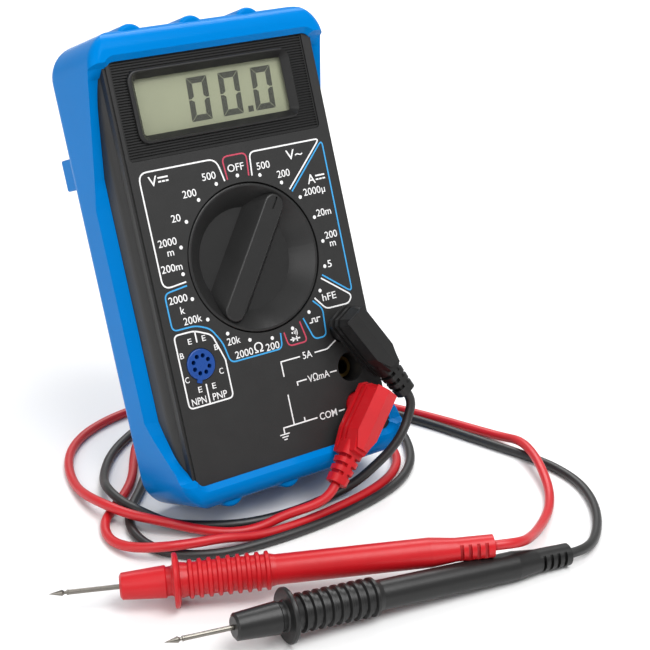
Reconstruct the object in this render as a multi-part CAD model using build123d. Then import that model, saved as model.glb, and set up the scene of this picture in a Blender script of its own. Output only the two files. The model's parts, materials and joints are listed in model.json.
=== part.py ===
from build123d import *
import os
from math import acos, atan2, cos, degrees, hypot, pi, radians, sin, tan

# Digital multimeter in a soft boot, leaning on its kickstand, with two test leads. All sizes are in mm.
# The meter is modelled upright in its own frame: X to its right, Y into the meter from the front
# face at Y = 0, Z up the face, with the dial's centre at X = Z = 0. It is then leaned back.

# ---- driving dimensions ----------------------------------------------------------------------
LEAN = 22.0                      # how far the meter leans back on its stand, degrees
CASE_W, CASE_H = 66.0, 120.9     # the plastic case
CASE_MID = 1.55                  # height of the case's middle above the dial's centre
CASE_CORNER = 6.0
PARTING = 11.5                   # depth at which the two case halves meet
CASE_BACK = 23.2
WALL = 2.4

BOOT_W, BOOT_H = 71.2, 124.9     # the soft boot around the case
BOOT_CORNER = 9.0
BOOT_LIP = 2.0                   # the boot's lip stands this far proud of the face
BOOT_BACK = 25.5
RIB_X = (-21.3, -3.3, 14.2)      # the rounded ribs over the boot's top and bottom edges
RIB_PROUD, RIB_BACK = 1.3, 24.23 # how far they stand out, and the depth that they end at

DIAL_R = 19.75                   # visible rim of the dial
DIAL_DRUM_R = 21.4               # the drum under the face that keeps the dial in
DIAL_FLOOR_R, DIAL_FLOOR = 13.8, 5.3
DIAL_BACK = 9.2
POINTER = 36.0                   # the pointer's angle from straight up, clockwise, degrees
POSITIONS = 20

BOARD_FRONT, BOARD_BACK = 10.0, 11.6
JACK_X = 22.3
JACK_Z = {"5a": -24.4, "vohm": -35.2, "com": -46.0}
SOCKET_R = 2.0                   # bore of a 4 mm test lead socket
SOCKET_MOUTH, SOCKET_END = 4.6, 16.0
WELL_R = 4.0                     # plastic well in front of each socket

HINGE_Z, HINGE_Y = -5.0, 25.4    # kickstand hinge on the back of the boot
LEG = 52.2                       # from the hinge to the centre of the rounded foot
STAND_HALF = 6.9                 # half the stand's width
PIN_HALF = 10.5
FOOT_R = 1.2

CORD_D = 2.6                     # test lead cord
LAID = 1.35                      # height of a cord's middle where it lies on the table
OVER = 4.4                       # and where it crosses over another cord
PLUG_ANGLE = {"black": 30.0, "red": -43.0}   # plug axis from straight down, towards +X, degrees
PLUG_JACK = {"black": "5a", "red": "com"}
PLUG_LIFT = 3.0                  # gap between the face and the plug's flange
PLUG_TAIL = 23.9                 # from the pin's axis to the end of the strain relief
CORD_HEIGHT = 6.5                # of the strain relief's middle above the face

PROBE_L = 109.5
# The black probe's tail lies on the table, and the red one's on the black probe's handle.
PROBE_TAIL = {"red": (19.4, -90.0, 10.7), "black": (40.9, -94.4, 3.0)}
PROBE_HEADING = {"red": -27.1, "black": -9.2}    # direction from tip to tail, degrees
PROBE_GUARD_R, PROBE_TAIL_R = 6.8, 2.9
NOSE_START, GUARD_AT = 17.0, 30.5


# ---- helpers ---------------------------------------------------------------------------------
def face(depth):
    """A sketch plane parallel to the face: sketch x is X and sketch y is Z, seen from the front."""
    return Plane(origin=(0, depth, 0), x_dir=(1, 0, 0), z_dir=(0, -1, 0))


def sink(sketch, front, back):
    """The sketch as a solid between two depths."""
    return extrude(face(back) * sketch, amount=back - front)


def disc(x, z, radius, front, back):
    return sink(Pos(x, z) * Circle(radius), front, back)


def tube(x, z, outer, inner, front, back):
    return disc(x, z, outer, front, back) - disc(x, z, inner, front - 1, back + 1)


def slab(x0, x1, z0, z1, front, back, corner=0.0):
    width, height = x1 - x0, z1 - z0
    outline = RectangleRounded(width, height, corner) if corner else Rectangle(width, height)
    return sink(Pos((x0 + x1) / 2, (z0 + z1) / 2) * outline, front, back)


def case_outline(inset, corner):
    return Pos(0, CASE_MID) * RectangleRounded(CASE_W - 2 * inset, CASE_H - 2 * inset, corner)


def around(count, radius, start=0.0):
    """Points on a circle about the dial's centre, clockwise from straight up."""
    for i in range(count):
        angle = radians(start + 360.0 / count * i)
        yield radius * sin(angle), radius * cos(angle), degrees(angle)


def rod(start, end, radius):
    """A round bar between two points."""
    start, end = Vector(*start), Vector(*end)
    plane = Plane(origin=start, z_dir=end - start)
    return extrude(plane * Circle(radius), amount=(end - start).length)


def wire_path(points, radii):
    return FilletPolyline(*points, radius=radii)


# ---- case ------------------------------------------------------------------------------------
PANEL = (-30.0, 28.6, 30.5, 57.2)        # grooved panel round the display: x0, x1, z0, z1
FRAME = (-25.9, 23.4, 34.2, 53.3)        # its smooth raised frame
VIEW = (-23.2, 21.7, 36.5, 51.0)         # the display's visible window
SCREWS = ((-28.9, 57.6), (28.9, 57.6), (28.2, -54.3))
BOARD_SCREWS = ((-27.6, 26.5), (27.6, 26.5), (-27.6, -9.0), (27.6, -9.0))
HFE_X, HFE_Z, HFE_R = -22.5, -23.75, 4.1


def case_form(back, grow=0.0):
    """The case's outside from the face to a depth, with a rounded edge and two fine steps."""
    form = sink(case_outline(-grow, CASE_CORNER + grow), 1.2 - grow, back)
    form = fillet(form.faces().sort_by(Axis.Y)[0].outer_wire().edges(), 4.5)
    form += sink(case_outline(1.2 - grow, 5.0), 0.5 - grow, 4.0)
    return form + sink(case_outline(2.0 - grow, 4.4), -grow, 3.0)


def front_case():
    shell = case_form(PARTING)
    shell -= sink(case_outline(2.2, 3.8), WALL, PARTING + 1)
    # the dial's hole, with the notched detent ring behind it
    ring = tube(0, 0, 24.0, 21.8, WALL, 9.0)
    for x, z, _ in around(POSITIONS, 21.8, POINTER):
        ring -= disc(x, z, 0.8, WALL + 1.6, 9.5)
    shell += ring
    shell -= disc(0, 0, DIAL_R + 0.35, -1, WALL + 1)
    # wells of the three sockets, and the transistor socket's hole
    for z in JACK_Z.values():
        shell += disc(JACK_X, z, 4.9, WALL, 9.0)
        shell -= disc(JACK_X, z, WELL_R, -1, 10)
    shell -= disc(HFE_X, HFE_Z, HFE_R + 0.15, -1, WALL + 1)
    # bosses for the board and case screws
    for x, z in BOARD_SCREWS:
        shell += tube(x, z, 2.4, 0.95, WALL, BOARD_FRONT)
    for x, z in SCREWS:
        shell += tube(x, z, 2.6, 1.3, WALL, PARTING)
    # recess of the display panel and the hole behind it
    shell -= slab(PANEL[0] - 0.1, PANEL[1] + 0.1, PANEL[2] - 0.1, PANEL[3] + 0.1, -1, 1.2, 1.2)
    shell -= slab(VIEW[0] - 1.6, VIEW[1] + 1.6, VIEW[2] - 1.6, VIEW[3] + 1.6, 0, WALL + 1, 1.0)
    return shell


def rear_case():
    shell = sink(case_outline(0, CASE_CORNER), PARTING, CASE_BACK)
    shell = fillet(shell.faces().sort_by(Axis.Y)[-1].outer_wire().edges(), 4.0)
    shell -= sink(case_outline(2.2, 3.8), PARTING - 1, CASE_BACK - 2.2)
    for x, z in SCREWS:
        shell += disc(x, z, 2.9, PARTING, CASE_BACK - 1.0)
        shell -= disc(x, z, 1.4, PARTING - 1, CASE_BACK + 1)
        shell -= disc(x, z, 2.4, CASE_BACK - 2.6, CASE_BACK + 1)
    return shell


def case_screws():
    screws = []
    for x, z in SCREWS:
        screw = disc(x, z, 1.2, 4.0, CASE_BACK - 2.6) + disc(x, z, 2.2, CASE_BACK - 2.6, CASE_BACK - 1.2)
        screw -= slab(x - 1.6, x + 1.6, z - 0.25, z + 0.25, CASE_BACK - 1.7, CASE_BACK)
        screw -= slab(x - 0.25, x + 0.25, z - 1.6, z + 1.6, CASE_BACK - 1.7, CASE_BACK)
        screws.append(screw)
    return Compound(children=screws)


def rear_shield():
    """Foil stuck inside the rear case, behind the board."""
    return slab(-24, 24, -28, 50, CASE_BACK - 2.35, CASE_BACK - 2.25, 3)


# ---- display ---------------------------------------------------------------------------------
GROOVE = 0.7                             # pitch of the panel's fine grooves


def display_panel():
    x0, x1, z0, z1 = PANEL
    grooved = slab(x0, x1, z0, z1, 0.3, 1.15, 1.2)
    rows = int((z1 - z0 - 1.0) / GROOVE)
    for i in range(rows):
        z = z0 + 0.8 + GROOVE * i
        grooved -= slab(x0 + 0.4, x1 - 0.4, z - 0.18, z + 0.18, 0, 0.85)
    frame = slab(*FRAME, -0.5, 1.15, 3.0)
    frame = fillet(frame.faces().sort_by(Axis.Y)[0].outer_wire().edges(), 0.5)
    sleeve = slab(VIEW[0] - 1.4, VIEW[1] + 1.4, VIEW[2] - 1.4, VIEW[3] + 1.4, 1.0, 2.0, 0.9)
    mouth = loft([face(-0.55) * view_outline(1.7, 2.2), face(1.8) * view_outline(0.0, 0.8)])
    opening = sink(view_outline(0.0, 0.8), 1.7, 3.0)
    return grooved + frame + sleeve - mouth - opening


def view_outline(grow, corner):
    width, height = VIEW[1] - VIEW[0] + 2 * grow, VIEW[3] - VIEW[2] + 2 * grow
    return Pos((VIEW[0] + VIEW[1]) / 2, (VIEW[2] + VIEW[3]) / 2) * RectangleRounded(width, height, corner)


def display_window():
    return slab(VIEW[0] - 1.4, VIEW[1] + 1.4, VIEW[2] - 1.4, VIEW[3] + 1.4, 2.02, 2.9, 0.8)


LCD = (-25.8, 24.3, 33.7, 53.9)


def lcd_cell():
    return slab(*LCD, 3.2, 5.8)


def lcd_holder():
    outer = slab(LCD[0] - 2, LCD[1] + 2, LCD[2] - 1.6, LCD[3] + 1.6, 3.3, BOARD_FRONT - 0.02, 1)
    return outer - slab(LCD[0] - 0.1, LCD[1] + 0.1, LCD[2] - 0.1, LCD[3] + 0.1, 3, BOARD_FRONT + 1)


def zebra_strips():
    low = slab(-23, 21.5, LCD[2] + 0.3, LCD[2] + 2.3, 5.82, BOARD_FRONT - 0.02)
    high = slab(-23, 21.5, LCD[3] - 2.3, LCD[3] - 0.3, 5.82, BOARD_FRONT - 0.02)
    return Compound(children=[low, high])


# ---- dial ------------------------------------------------------------------------------------
def slot(length, width):
    """The grip's outline, turned to the pointer."""
    return Rot(0, 0, 90 - POINTER) * SlotOverall(length, width)


def dial_knob():
    drum = disc(0, 0, DIAL_R, 0.0, 3.0) + disc(0, 0, DIAL_DRUM_R, 2.9, DIAL_BACK)
    rim = drum.edges().filter_by(GeomType.CIRCLE).sort_by(Axis.Y)[0]
    drum = fillet(rim, 0.4)
    mouth = face(0.0) * Circle(DIAL_R - 0.75)
    floor = face(DIAL_FLOOR) * Circle(DIAL_FLOOR_R)
    drum -= loft([mouth, floor])
    drum -= disc(0, 0, DIAL_R - 0.75, -1, 0.01)
    grip = loft([face(DIAL_FLOOR + 0.1) * slot(37.6, 12.4), face(-0.3) * slot(36.8, 5.4)])
    top = grip.faces().sort_by(Axis.Y)[0]
    grip = fillet(top.outer_wire().edges(), 0.6)
    knob = drum + (grip & disc(0, 0, DIAL_R - 0.4, -2, DIAL_BACK))
    # engraved pointer at the grip's upper end
    mark = Rot(0, 0, -POINTER) * Pos(0, 15.9) * RectangleRounded(0.55, 3.6, 0.2)
    knob -= sink(mark, -1, 0.25)
    # hub through the board, and the two channels of the detent balls
    knob += disc(0, 0, 4.0, DIAL_BACK - 0.1, 12.6)
    for side in (-1, 1):
        knob -= rod(grip_point(side * 11.0, 7.2), grip_point(side * 23.0, 7.2), 1.5)
    return knob


def grip_point(distance, depth):
    """A point along the pointer's line, across the dial."""
    return distance * sin(radians(POINTER)), depth, distance * cos(radians(POINTER))


def detent_balls():
    return Compound(children=[Pos(*grip_point(side * 19.9, 7.2)) * Sphere(1.4) for side in (-1, 1)])


def detent_springs():
    coils = []
    for side in (-1, 1):
        start, end = grip_point(side * 11.1, 7.2), grip_point(side * 18.4, 7.2)
        coils.append(rod(start, end, 1.3) - rod(start, end, 0.8))
    return Compound(children=coils)


def dial_contacts():
    """Four leaf contacts under the dial, each with a rounded foot that slides on the tracks."""
    leaves = []
    for x, z, angle in around(4, 12.0, POINTER + 45):
        leaf = slab(-0.8, 0.8, -4.5, 4.5, DIAL_BACK, DIAL_BACK + 0.3, 0.3)
        for foot in (-3.4, 3.4):
            leaf += disc(0, foot, 0.6, DIAL_BACK + 0.2, DIAL_BACK + 0.5)
        leaves.append(Pos(x, 0, z) * Rot(0, angle, 0) * leaf)
    return Compound(children=leaves)


# ---- circuit board ---------------------------------------------------------------------------
def circuit_board():
    upper = slab(-30.4, 30.4, -29.8, 54.6, BOARD_FRONT, BOARD_BACK, 1.5)
    leg = slab(18.5, 30.4, -51.2, -28, BOARD_FRONT, BOARD_BACK, 1.5)
    board = upper + leg - disc(0, 0, 4.3, 9, 13)
    for x, z in BOARD_SCREWS:
        board -= disc(x, z, 1.3, 9, 13)
    for z in JACK_Z.values():
        board -= disc(JACK_X, z, 3.0, 9, 13)
    for x, z, _ in around(4, 7.8, 45):
        board -= disc(x, z, 0.5, 9, 13)
    for x, z, _ in around(8, 2.35, 22.5):
        board -= disc(HFE_X + x, HFE_Z + z, 0.45, 9, 13)
    return board


def switch_tracks():
    """Gilt rings and pads on the board under the dial's contacts."""
    front = BOARD_FRONT - 0.07
    tracks = [tube(0, 0, r + 0.7, r - 0.7, front, BOARD_FRONT) for r in (5.8, 8.6, 10.4)]
    for x, z, angle in around(POSITIONS, 15.4, POINTER):
        pad = slab(-0.9, 0.9, -1.6, 1.6, front, BOARD_FRONT)
        tracks.append(Pos(x, 0, z) * Rot(0, angle, 0) * pad)
    return Compound(children=tracks)


def board_screws():
    screws = []
    for x, z in BOARD_SCREWS:
        screws.append(disc(x, z, 0.9, 5.5, BOARD_BACK) + disc(x, z, 1.9, BOARD_BACK, BOARD_BACK + 1.2))
    return Compound(children=screws)


def chip_blob():
    """Potting over the converter chip, on the back of the board."""
    dome = Pos(-8, BOARD_BACK - 5.2, 28) * Sphere(8.0)
    return dome & slab(-20, 4, 16, 40, BOARD_BACK, 20)


def resistors():
    """Axial resistors with their leads folded down to the board."""
    height = BOARD_BACK + 1.4
    group = []
    for row, z in enumerate((44, 40, 36, 17, 13)):
        for x in (10, 22):
            shift = 0.8 * (row % 2)
            body = rod((x - 3 + shift, height, z), (x + 3 + shift, height, z), 1.1)
            lead = rod((x - 4.4 + shift, height, z), (x + 4.4 + shift, height, z), 0.3)
            for end in (-4.2, 4.2):
                lead += disc(x + end + shift, z, 0.28, BOARD_BACK, height)
            group.append(body + lead)
    return Compound(children=group)


def capacitors():
    """Film capacitors and one electrolytic can."""
    group = []
    for x, z in ((-24, 44), (-24, 36), (-24, 20), (-16, 12)):
        body = slab(x - 3.2, x + 3.2, z - 1.4, z + 1.4, BOARD_BACK + 0.3, BOARD_BACK + 6, 0.6)
        for side in (-2.2, 2.2):
            body += disc(x + side, z, 0.3, BOARD_BACK, BOARD_BACK + 0.6)
        group.append(body)
    group.append(disc(-6, 46, 2.5, BOARD_BACK, BOARD_BACK + 7))
    return Compound(children=group)


def diodes():
    group = []
    for z in (24, 28):
        height = BOARD_BACK + 1.2
        body = rod((14, height, z), (18.5, height, z), 0.95) + rod((11, height, z), (21.5, height, z), 0.3)
        for x in (11.3, 21.2):
            body += disc(x, z, 0.28, BOARD_BACK, height)
        group.append(body)
    return Compound(children=group)


def trimmer():
    pot = disc(1.2, 12.5, 3.0, BOARD_BACK, BOARD_BACK + 3.4)
    return pot - slab(-1.0, 3.4, 12.2, 12.8, BOARD_BACK + 2.8, BOARD_BACK + 4)


SHUNT_X, SHUNT_Z = (12.0, 28.5), -19.0


def shunt_wire():
    """Thick wire loop that carries the high current range."""
    back = BOARD_BACK + 5.0
    left, right = SHUNT_X
    points = [(left, BOARD_BACK, SHUNT_Z), (left, back, SHUNT_Z), (right, back, SHUNT_Z)]
    points.append((right, BOARD_BACK, SHUNT_Z))
    path = wire_path(points, 2.0)
    return sweep(Plane(origin=path @ 0, z_dir=path % 0) * Circle(0.8), path=path)


def fuse():
    return rod((-9.9, BOARD_BACK + 3.4, -18), (9.9, BOARD_BACK + 3.4, -18), 2.35)


def fuse_caps():
    y = BOARD_BACK + 3.4
    caps = []
    for side in (-1, 1):
        cap = rod((side * 4.5, y, -18), (side * 10.2, y, -18), 2.6)
        caps.append(cap - rod((side * 4.0, y, -18), (side * 9.9, y, -18), 2.36))
    return Compound(children=caps)


def fuse_clips():
    y = BOARD_BACK + 3.4
    clips = []
    for side in (-1, 1):
        x0, x1 = sorted((side * 5.4, side * 9.0))
        holder = slab(x0, x1, -21.2, -14.8, BOARD_BACK, BOARD_BACK + 5.4)
        holder -= slab(x0 - 1, x1 + 1, -20.6, -15.4, BOARD_BACK + 0.6, BOARD_BACK + 7)
        ring = rod((x0, y, -18), (x1, y, -18), 3.1) - rod((x0 - 1, y, -18), (x1 + 1, y, -18), 2.61)
        clips.append(holder + (ring & slab(x0, x1, -22, -14, BOARD_BACK, y + 1.5)))
    return Compound(children=clips)


def buzzer():
    drum = disc(-20, 0, 7.0, BOARD_BACK, BOARD_BACK + 4.0)
    return drum - disc(-20, 0, 1.0, BOARD_BACK + 3.2, BOARD_BACK + 5)


def transistor_socket():
    socket = disc(HFE_X, HFE_Z, HFE_R, -0.3, BOARD_FRONT)
    socket = fillet(socket.edges().filter_by(GeomType.CIRCLE).sort_by(Axis.Y)[0], 0.3)
    key = Pos(HFE_X, 0, HFE_Z) * Rot(0, 20, 0) * slab(-0.7, 0.7, -4.9, -3.6, -0.3, 0.0)
    socket += key
    for x, z, _ in around(8, 2.35, 22.5):
        socket -= disc(HFE_X + x, HFE_Z + z, 0.6, -1, 7.0)
        socket -= disc(HFE_X + x, HFE_Z + z, 0.45, 6.5, BOARD_FRONT + 1)
    return socket


def socket_contacts():
    """Eight pins from the transistor socket through the board."""
    pins = [disc(HFE_X + x, HFE_Z + z, 0.4, 7.0, BOARD_BACK + 1.5) for x, z, _ in around(8, 2.35, 22.5)]
    return Compound(children=pins)


def jack(name):
    """Brass tube with a flange that is soldered to the board."""
    z = JACK_Z[name]
    body = tube(JACK_X, z, 2.95, SOCKET_R, SOCKET_MOUTH, SOCKET_END)
    return body + tube(JACK_X, z, 3.7, 2.5, BOARD_FRONT - 0.8, BOARD_FRONT)


# ---- battery ---------------------------------------------------------------------------------
BATTERY = (-30.2, 16.0, -56.4, -30.0)
TERMINAL_Z = (-49.5, -36.9)
SNAP_TOP = -32.1


def battery():
    return slab(*BATTERY, 2.8, 20.2, 2.6)


def battery_terminals():
    x = BATTERY[1]
    studs = [rod((x, 11.5, z), (x + 2.1, 11.5, z), 2.2) for z in TERMINAL_Z]
    return Compound(children=studs)


def battery_snap():
    x = BATTERY[1]
    cap = slab(x + 0.05, x + 2.35, BATTERY[2] + 2.1, SNAP_TOP, 5.0, 18.0, 0.8)
    for z in TERMINAL_Z:
        cap -= rod((x - 1, 11.5, z), (x + 2.2, 11.5, z), 2.3)
    for z in JACK_Z.values():
        cap -= disc(JACK_X, z, 5.1, WALL, 9.2)
    return cap


def battery_lead(start_z, end_x, end_z, depth):
    """Thin wire from the snap to the board."""
    start, end = (BATTERY[1] + 1.7, depth, SNAP_TOP), (end_x, BOARD_BACK + 0.1, end_z)
    middle = (start[0], depth, start_z)
    points = [start, middle, (end_x, depth + 1.0, end_z), end]
    path = wire_path(points, 1.5)
    return sweep(Plane(origin=path @ 0, z_dir=path % 0) * Circle(0.7), path=path)


# ---- boot and kickstand ----------------------------------------------------------------------
# Depth of the side walls' front edge: height, then the depth at the case and at the outer surface.
WAIST = ((56.6, -2.8, -2.8), (55.0, 0.2, 0.9), (52.6, 3.0, 1.9), (27.9, 10.0, 10.8), (20.4, 10.0, 13.8),
         (-36.5, 9.8, 13.4), (-40.0, 8.2, 11.0), (-50.2, 2.6, 1.6), (-52.6, 0.2, 0.6), (-54.4, -2.8, -2.8))


OPENING = (-31.2, 31.2, -54.5, 56.1)     # the boot's front opening: x0, x1, z0, z1
CLIP_X = 28.8                            # the probe clips' middle, either side


def waist_cutter(side):
    sections = []
    inner, outer, far = 28.6, BOOT_W / 2, BOOT_W / 2 + 5
    for z, near_case, at_surface in WAIST:
        beyond = at_surface + (at_surface - near_case) / (outer - CASE_W / 2) * 5
        points = [(inner, -12), (inner, near_case), (CASE_W / 2, near_case), (outer, at_surface),
                  (far, beyond), (far, -12)]
        points = [(side * x, y) for x, y in points]
        sections.append(Plane(origin=(0, 0, z)) * make_face(Polyline(*points, close=True)))
    return loft(sections, ruled=True)


def opening_outline(grow):
    x0, x1, z0, z1 = OPENING
    outline = RectangleRounded(x1 - x0 + 2 * grow, z1 - z0 + 2 * grow, 2.4 + grow)
    return Pos((x0 + x1) / 2, (z0 + z1) / 2) * outline


def boot_rib(x, z):
    rib = disc(x, z, 4.2, 1.0, RIB_BACK)
    return fillet(rib.edges().filter_by(GeomType.CIRCLE), 1.0)


def boot():
    body = sink(Pos(0, CASE_MID) * RectangleRounded(BOOT_W, BOOT_H, BOOT_CORNER), -BOOT_LIP, BOOT_BACK)
    body = fillet(body.faces().sort_by(Axis.Y)[0].outer_wire().edges(), 2.7)
    body = fillet(body.faces().sort_by(Axis.Y)[-1].outer_wire().edges(), 3.5)
    # its top and bottom are rounded over more to the front
    profile = Pos(30 - BOOT_LIP / 2, CASE_MID) * RectangleRounded(60 + BOOT_LIP, BOOT_H, 5.0)
    body &= extrude(Plane.YZ * profile, amount=BOOT_W, both=True)
    for x in RIB_X:
        body += boot_rib(x, CASE_MID + BOOT_H / 2 - 4.2 + RIB_PROUD)
        body += boot_rib(x, CASE_MID - BOOT_H / 2 + 4.2 - RIB_PROUD)
    body -= case_form(CASE_BACK + 0.1, 0.1)
    body -= sink(opening_outline(0.0), -BOOT_LIP - 1, 0.5)
    body -= loft([face(-BOOT_LIP - 0.05) * opening_outline(1.5), face(-0.5) * opening_outline(0.0)])
    for side in (-1, 1):
        body -= waist_cutter(side)
    # window that the folded stand lies in, and the two hinge lugs beside it
    gap = STAND_HALF + 0.4
    body -= slab(-gap, gap, HINGE_Z - LEG - 1.8, HINGE_Z + 3.2, CASE_BACK - 1, BOOT_BACK + 1, 1.0)
    for side in (-1, 1):
        x0, x1 = sorted((side * (gap + 0.1), side * (gap + 4.1)))
        lug = rod((x0, HINGE_Y, HINGE_Z), (x1, HINGE_Y, HINGE_Z), 2.3)
        foot = slab(x0, x1, HINGE_Z - 2.3, HINGE_Z + 2.3, CASE_BACK + 0.15, HINGE_Y)
        body += (lug & slab(x0, x1, HINGE_Z - 5, HINGE_Z + 5, CASE_BACK + 0.15, 30)) + foot
    body -= rod((-PIN_HALF - 0.1, HINGE_Y, HINGE_Z), (PIN_HALF + 0.1, HINGE_Y, HINGE_Z), 0.96)
    # clips that hold the probes on the back
    for side in (-1, 1):
        x0, x1 = sorted((side * (CLIP_X - 5.2), side * (CLIP_X + 5.2)))
        clip = slab(x0, x1, 27.0, 35.5, BOOT_BACK - 0.6, 31.6, 0.6)
        clip -= rod((side * CLIP_X, 30.4, 20), (side * CLIP_X, 30.4, 45), 3.9)
        body += clip
    return body


def kickstand_closed():
    """The strut, folded flush into the back of the boot."""
    half, top, bottom, middle = STAND_HALF, HINGE_Z, HINGE_Z - LEG, HINGE_Y - 0.9
    strut = slab(-half, half, bottom, top, middle - 1.1, middle + 1.1)
    strut += rod((-half, middle, bottom), (half, middle, bottom), FOOT_R)
    strut -= slab(-3.4, 3.4, bottom + 9, top - 8, middle - 2, middle - 0.3, 2.0)
    barrel = rod((-half, HINGE_Y, HINGE_Z), (half, HINGE_Y, HINGE_Z), 2.2)
    bore = rod((-half - 1, HINGE_Y, HINGE_Z), (half + 1, HINGE_Y, HINGE_Z), 1.0)
    return strut + barrel - bore


def kickstand_pin():
    return rod((-PIN_HALF, HINGE_Y, HINGE_Z), (PIN_HALF, HINGE_Y, HINGE_Z), 0.95)


# ---- plugs -----------------------------------------------------------------------------------
def plug_frame(colour):
    """Local frame of a plug: x towards its tail, z out of the face, from the socket's axis."""
    angle = radians(PLUG_ANGLE[colour])
    return Location(Plane(origin=(JACK_X, 0, JACK_Z[PLUG_JACK[colour]]),
                          x_dir=(sin(angle), 0, -cos(angle)), z_dir=(0, -1, 0)))


def plug_outline(inset, shoulder):
    """Coffin-shaped outline: square at the back, tapered to the tail."""
    back, side, neck = -5.5 + inset, 4.4 - inset, max(2.9 - inset, 1.0)
    upper = [(back, side - 1.4), (back + 1.2, side), (9.0, side), (shoulder, neck)]
    lower = [(x, -y) for x, y in reversed(upper)]
    return make_face(Polyline(*upper, *lower, close=True))


def plug_body():
    """Moulded right-angle plug in its local frame."""
    level = PLUG_LIFT
    body = Pos(0, 0, level) * extrude(plug_outline(0.9, 15.0), amount=5.0)
    for start, inset in ((0.0, 0.0), (2.2, 0.25)):
        body += Pos(0, 0, level + start) * extrude(plug_outline(inset, 15.6 - inset), amount=1.3)
    low = Pos(0, 0, level + 4.2) * plug_outline(0.4, 15.4)
    high = Pos(0, 0, level + 8.0) * plug_outline(1.0, 14.6)
    body += loft([low, high])
    # shallow roof with a ridge along the middle
    plan = make_face(Polyline((-4.5, -3.4), (-4.5, 3.4), (9.4, 3.4), (13.6, 1.6), (13.6, -1.6), (9.4, -3.4),
                              close=True))
    gable = make_face(Polyline((-4, -0.1), (4, -0.1), (4, 0.05), (0, 1.1), (-4, 0.05), close=True))
    gable = extrude(Plane(origin=(-5, 0, 0), x_dir=(0, 1, 0), z_dir=(1, 0, 0)) * gable, amount=20)
    body += Pos(0, 0, level + 8.0) * (gable & (Pos(0, 0, -0.1) * extrude(plan, amount=2)))
    # strain relief with its grooves, then the neck that enters the well
    thick, thin = RectangleRounded(6.6, 6.2, 1.8), RectangleRounded(5.4, 4.8, 1.8)
    across = Plane(origin=(0, 0, CORD_HEIGHT), x_dir=(0, 1, 0), z_dir=(1, 0, 0))
    relief = loft([across.offset(12.0) * thick, across.offset(PLUG_TAIL) * thin])
    for x in (16.4, 18.8, 21.2):
        groove = Pos(x, 0, CORD_HEIGHT) * Box(1.0, 12, 12)
        core = Pos(x, 0, CORD_HEIGHT) * Box(2.0, 3.6, 3.6)
        relief -= groove - core - (Pos(x, 0, CORD_HEIGHT) * Box(2.0, 1.2, 12))
    body += relief
    body += Pos(0, 0, -4.2) * extrude(Circle(3.6), amount=level + 4.4)
    return body


def plug_pin():
    """Core of the plug, turned brass, plated."""
    core = Pos(0, 0, -15.0) * extrude(Circle(1.15), amount=10.8)
    tip = Pos(0, 0, -15.0) * Sphere(1.15)
    return core + tip


def plug_spring():
    """Sprung sleeve over the pin, slit into blades."""
    sleeve = Pos(0, 0, -14.6) * extrude(Circle(1.93) - Circle(1.17), amount=10.3)
    for angle in range(0, 180, 45):
        slit = Pos(0, 0, -9.4) * Rot(0, 0, angle) * Box(5, 0.3, 7.0)
        sleeve -= slit
    return sleeve


# ---- probes ----------------------------------------------------------------------------------
def turned(profile):
    """A body of revolution about local x, from (x, radius) points, closed on the axis."""
    points = [(profile[0][0], 0)] + list(profile) + [(profile[-1][0], 0)]
    outline = make_face(Polyline(*points, close=True))
    return revolve(outline, axis=Axis.X)


def probe_tip():
    """Needle: a pointed head, a short neck and collar, and the shaft. Local x runs from tip to tail."""
    head = [(0.0, 0.05), (3.2, 0.78), (3.7, 0.4), (4.2, 0.4), (4.3, 0.68), (4.7, 0.68), (4.8, 0.62)]
    return turned(head + [(NOSE_START, 0.62), (NOSE_START + 8.0, 0.62)])


def probe_nose():
    """Tapered cap in front of the finger guard, screwed over the handle."""
    start = NOSE_START
    cap = turned([(start, 2.6), (start + 0.5, 3.3), (start + 11.0, 4.0), (start + 11.3, 3.8),
                  (start + 11.3, 2.0)])
    return cap - turned([(start - 1, 0.72), (start + 12, 0.72)])


def probe_handle():
    """Grip with the finger guard, nine ribs, a smooth barrel and the slotted strain relief."""
    start = NOSE_START + 11.3
    profile = [(start, 3.6), (start + 1.2, 3.6), (GUARD_AT - 0.6, 3.9), (GUARD_AT - 0.5, PROBE_GUARD_R - 0.3),
               (GUARD_AT - 0.2, PROBE_GUARD_R), (GUARD_AT + 0.4, PROBE_GUARD_R),
               (GUARD_AT + 0.8, PROBE_GUARD_R - 0.4), (GUARD_AT + 1.2, 4.4)]
    first, pitch, ribs = GUARD_AT + 3.0, 2.35, 9
    for i in range(ribs):
        x = first + pitch * i
        profile += [(x, 4.1), (x + 0.35, 4.8), (x + 1.05, 4.8), (x + 1.4, 4.1)]
    end = first + pitch * ribs
    profile += [(end + 0.4, 3.75), (PROBE_L - 16, 3.75), (PROBE_L - 9.5, 3.0), (PROBE_L, PROBE_TAIL_R)]
    handle = turned(profile) - turned([(start - 1, 0.72), (start + 2.5, 0.72)])
    for i in range(4):
        x = PROBE_L - 8.4 + 2.1 * i
        for side in (-1, 1):
            handle -= Pos(x, side * 2.9, 0) * Box(0.9, 2.0, 8.0)
    return handle


# ---- assembly --------------------------------------------------------------------------------
LEANED = Rot(-LEAN, 0, 0)


def foot_angle(lowest):
    """How far the stand opens so that its foot reaches the same level as the boot's edge."""
    lean = radians(LEAN)
    hinge_height = HINGE_Z * cos(lean) - HINGE_Y * sin(lean) - lowest
    offset = 0.9                 # the strut's middle lies this far in front of the hinge pin
    angle = acos((hinge_height - FOOT_R) / hypot(LEG, offset))
    return degrees(lean + atan2(offset, LEG) + angle)


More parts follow.
